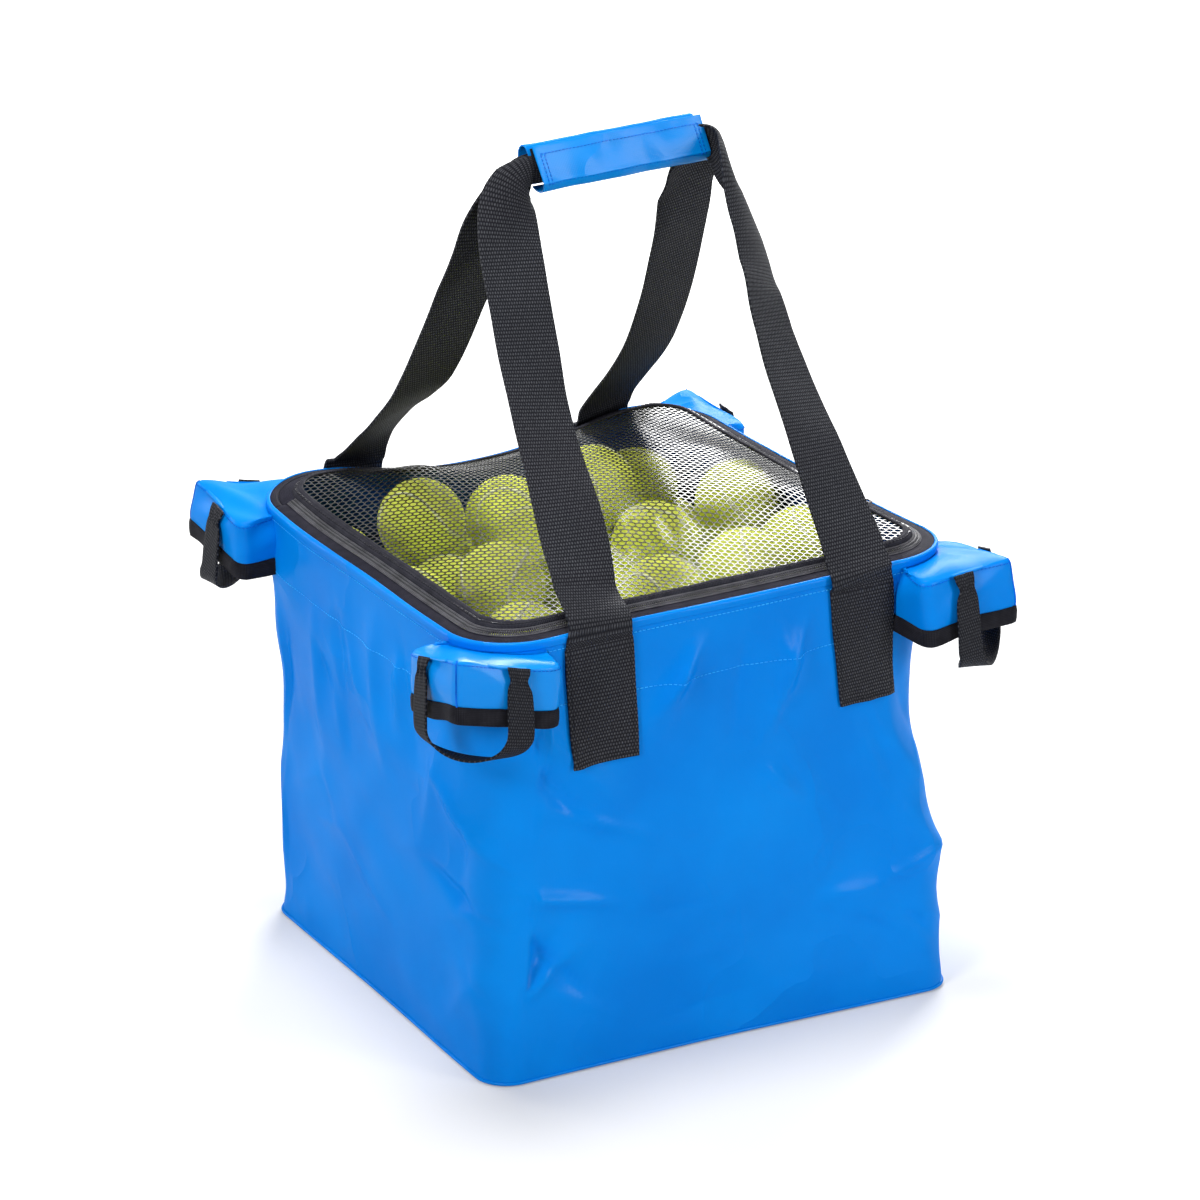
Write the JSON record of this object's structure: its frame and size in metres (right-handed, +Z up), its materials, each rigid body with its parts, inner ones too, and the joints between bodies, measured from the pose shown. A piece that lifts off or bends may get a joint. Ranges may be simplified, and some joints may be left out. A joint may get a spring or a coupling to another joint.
{
  "type": "ball cart bag",
  "caption": "Square soft bag of a court ball cart: coated fabric walls, zipped net lid, corner hoods with pull loops and webbing handles joined in a wrapped grip",
  "frame": {"origin": "middle of the bag's base, on the surface it stands on", "axes": "+Z up, the front wall faces -Y and the right wall, which carries the zip sliders, faces +X"},
  "size_m": [0.4506, 0.4506, 0.6427],
  "materials": {
    "coated_fabric": "PVC-coated woven fabric, semi-gloss azure blue",
    "facing_fabric": "dark navy uncoated side of the same fabric",
    "webbing": "woven black webbing, matte",
    "zip_tape": "woven black zip tape",
    "zip_coil": "black nylon coil",
    "net": "black knitted mesh",
    "binding": "folded black binding tape",
    "hook_and_loop": "black hook-and-loop strip",
    "slider_metal": "dark lacquered zinc"
  },
  "bodies": {
    "bag": {"base_panel": "coated_fabric", "front_panel": "coated_fabric", "rear_panel": "coated_fabric", "left_panel": "coated_fabric", "right_panel": "coated_fabric", "rim_facing": "facing_fabric", "base_seam_tape": "binding", "corner_seam_tape_front_left": "binding", "corner_seam_tape_front_right": "binding", "corner_seam_tape_rear_left": "binding", "corner_seam_tape_rear_right": "binding", "zip_tape_bag": "zip_tape", "zip_coil_bag": "zip_coil", "rear_hinge_tape": "zip_tape", "front_web_end_left": "webbing", "front_web_end_right": "webbing", "rear_web_end_left": "webbing", "rear_web_end_right": "webbing", "hood_top_front_left": "coated_fabric", "hood_top_front_right": "coated_fabric", "hood_top_rear_left": "coated_fabric", "hood_top_rear_right": "coated_fabric", "hood_band_front_left": "coated_fabric", "hood_band_front_right": "coated_fabric", "hood_band_rear_left": "coated_fabric", "hood_band_rear_right": "coated_fabric", "hood_binding_front_left": "binding", "hood_binding_front_right": "binding", "hood_binding_rear_left": "binding", "hood_binding_rear_right": "binding"},
    "lid": {"zip_coil_lid": "zip_coil", "zip_tape_lid": "zip_tape", "lid_rear_tape": "zip_tape", "lid_binding": "binding", "lid_net": "net"},
    "front_handle": {"front_handle_web": "webbing", "grip_wrap_front": "coated_fabric", "grip_hook_strip": "hook_and_loop"},
    "rear_handle": {"rear_handle_web": "webbing", "grip_wrap_rear": "coated_fabric"},
    "slider_front": {"zip_slider_front": "slider_metal"},
    "slider_rear": {"zip_slider_rear": "slider_metal"},
    "pull_front": {"slider_pull_front": "slider_metal"},
    "pull_rear": {"slider_pull_rear": "slider_metal"},
    "loop_front_left": {"pull_loop_front_left": "webbing"},
    "loop_front_right": {"pull_loop_front_right": "webbing"},
    "loop_rear_left": {"pull_loop_rear_left": "webbing"},
    "loop_rear_right": {"pull_loop_rear_right": "webbing"}
  },
  "joints": [
    {"name": "lid_hinge", "type": "hinge", "parent": "bag", "child": "lid", "pos_m": [0, 0.18215, 0.35265], "axis": [-1, 0, 0], "range_deg": [0, 100]},
    {"name": "front_handle_swing", "type": "hinge", "parent": "bag", "child": "front_handle", "pos_m": [0, -0.19225, 0.35], "axis": [1, 0, 0], "range_deg": [0, 170]},
    {"name": "rear_handle_swing", "type": "hinge", "parent": "bag", "child": "rear_handle", "pos_m": [0, 0.19225, 0.35], "axis": [-1, 0, 0], "range_deg": [0, 170]},
    {"name": "slider_front_slide", "type": "slide", "parent": "bag", "child": "slider_front", "axis": [0, -1, 0], "range_m": [0, 0.055]},
    {"name": "slider_rear_slide", "type": "slide", "parent": "bag", "child": "slider_rear", "axis": [0, 1, 0], "range_m": [0, 0.19]},
    {"name": "pull_front_hinge", "type": "hinge", "parent": "slider_front", "child": "pull_front", "pos_m": [0.17665, -0.0763, 0.36047], "axis": [-1, 0, 0], "range_deg": [0, 90]},
    {"name": "pull_rear_hinge", "type": "hinge", "parent": "slider_rear", "child": "pull_rear", "pos_m": [0.17665, -0.0637, 0.36047], "axis": [1, 0, 0], "range_deg": [0, 90]},
    {"name": "loop_front_left_swing", "type": "hinge", "parent": "bag", "child": "loop_front_left", "pos_m": [-0.2003, -0.2003, 0.344], "axis": [-0.7071, 0.7071, 0], "range_deg": [0, 80]},
    {"name": "loop_front_right_swing", "type": "hinge", "parent": "bag", "child": "loop_front_right", "pos_m": [0.2003, -0.2003, 0.344], "axis": [-0.7071, -0.7071, 0], "range_deg": [0, 80]},
    {"name": "loop_rear_left_swing", "type": "hinge", "parent": "bag", "child": "loop_rear_left", "pos_m": [-0.2003, 0.2003, 0.344], "axis": [0.7071, 0.7071, 0], "range_deg": [0, 80]},
    {"name": "loop_rear_right_swing", "type": "hinge", "parent": "bag", "child": "loop_rear_right", "pos_m": [0.2003, 0.2003, 0.344], "axis": [0.7071, -0.7071, 0], "range_deg": [0, 80]}
  ],
  "couplings": [
    {"joint": "front_handle_swing", "follows": "lid_hinge", "ratio": 1.7},
    {"joint": "rear_handle_swing", "follows": "lid_hinge", "ratio": 1.7}
  ]
}
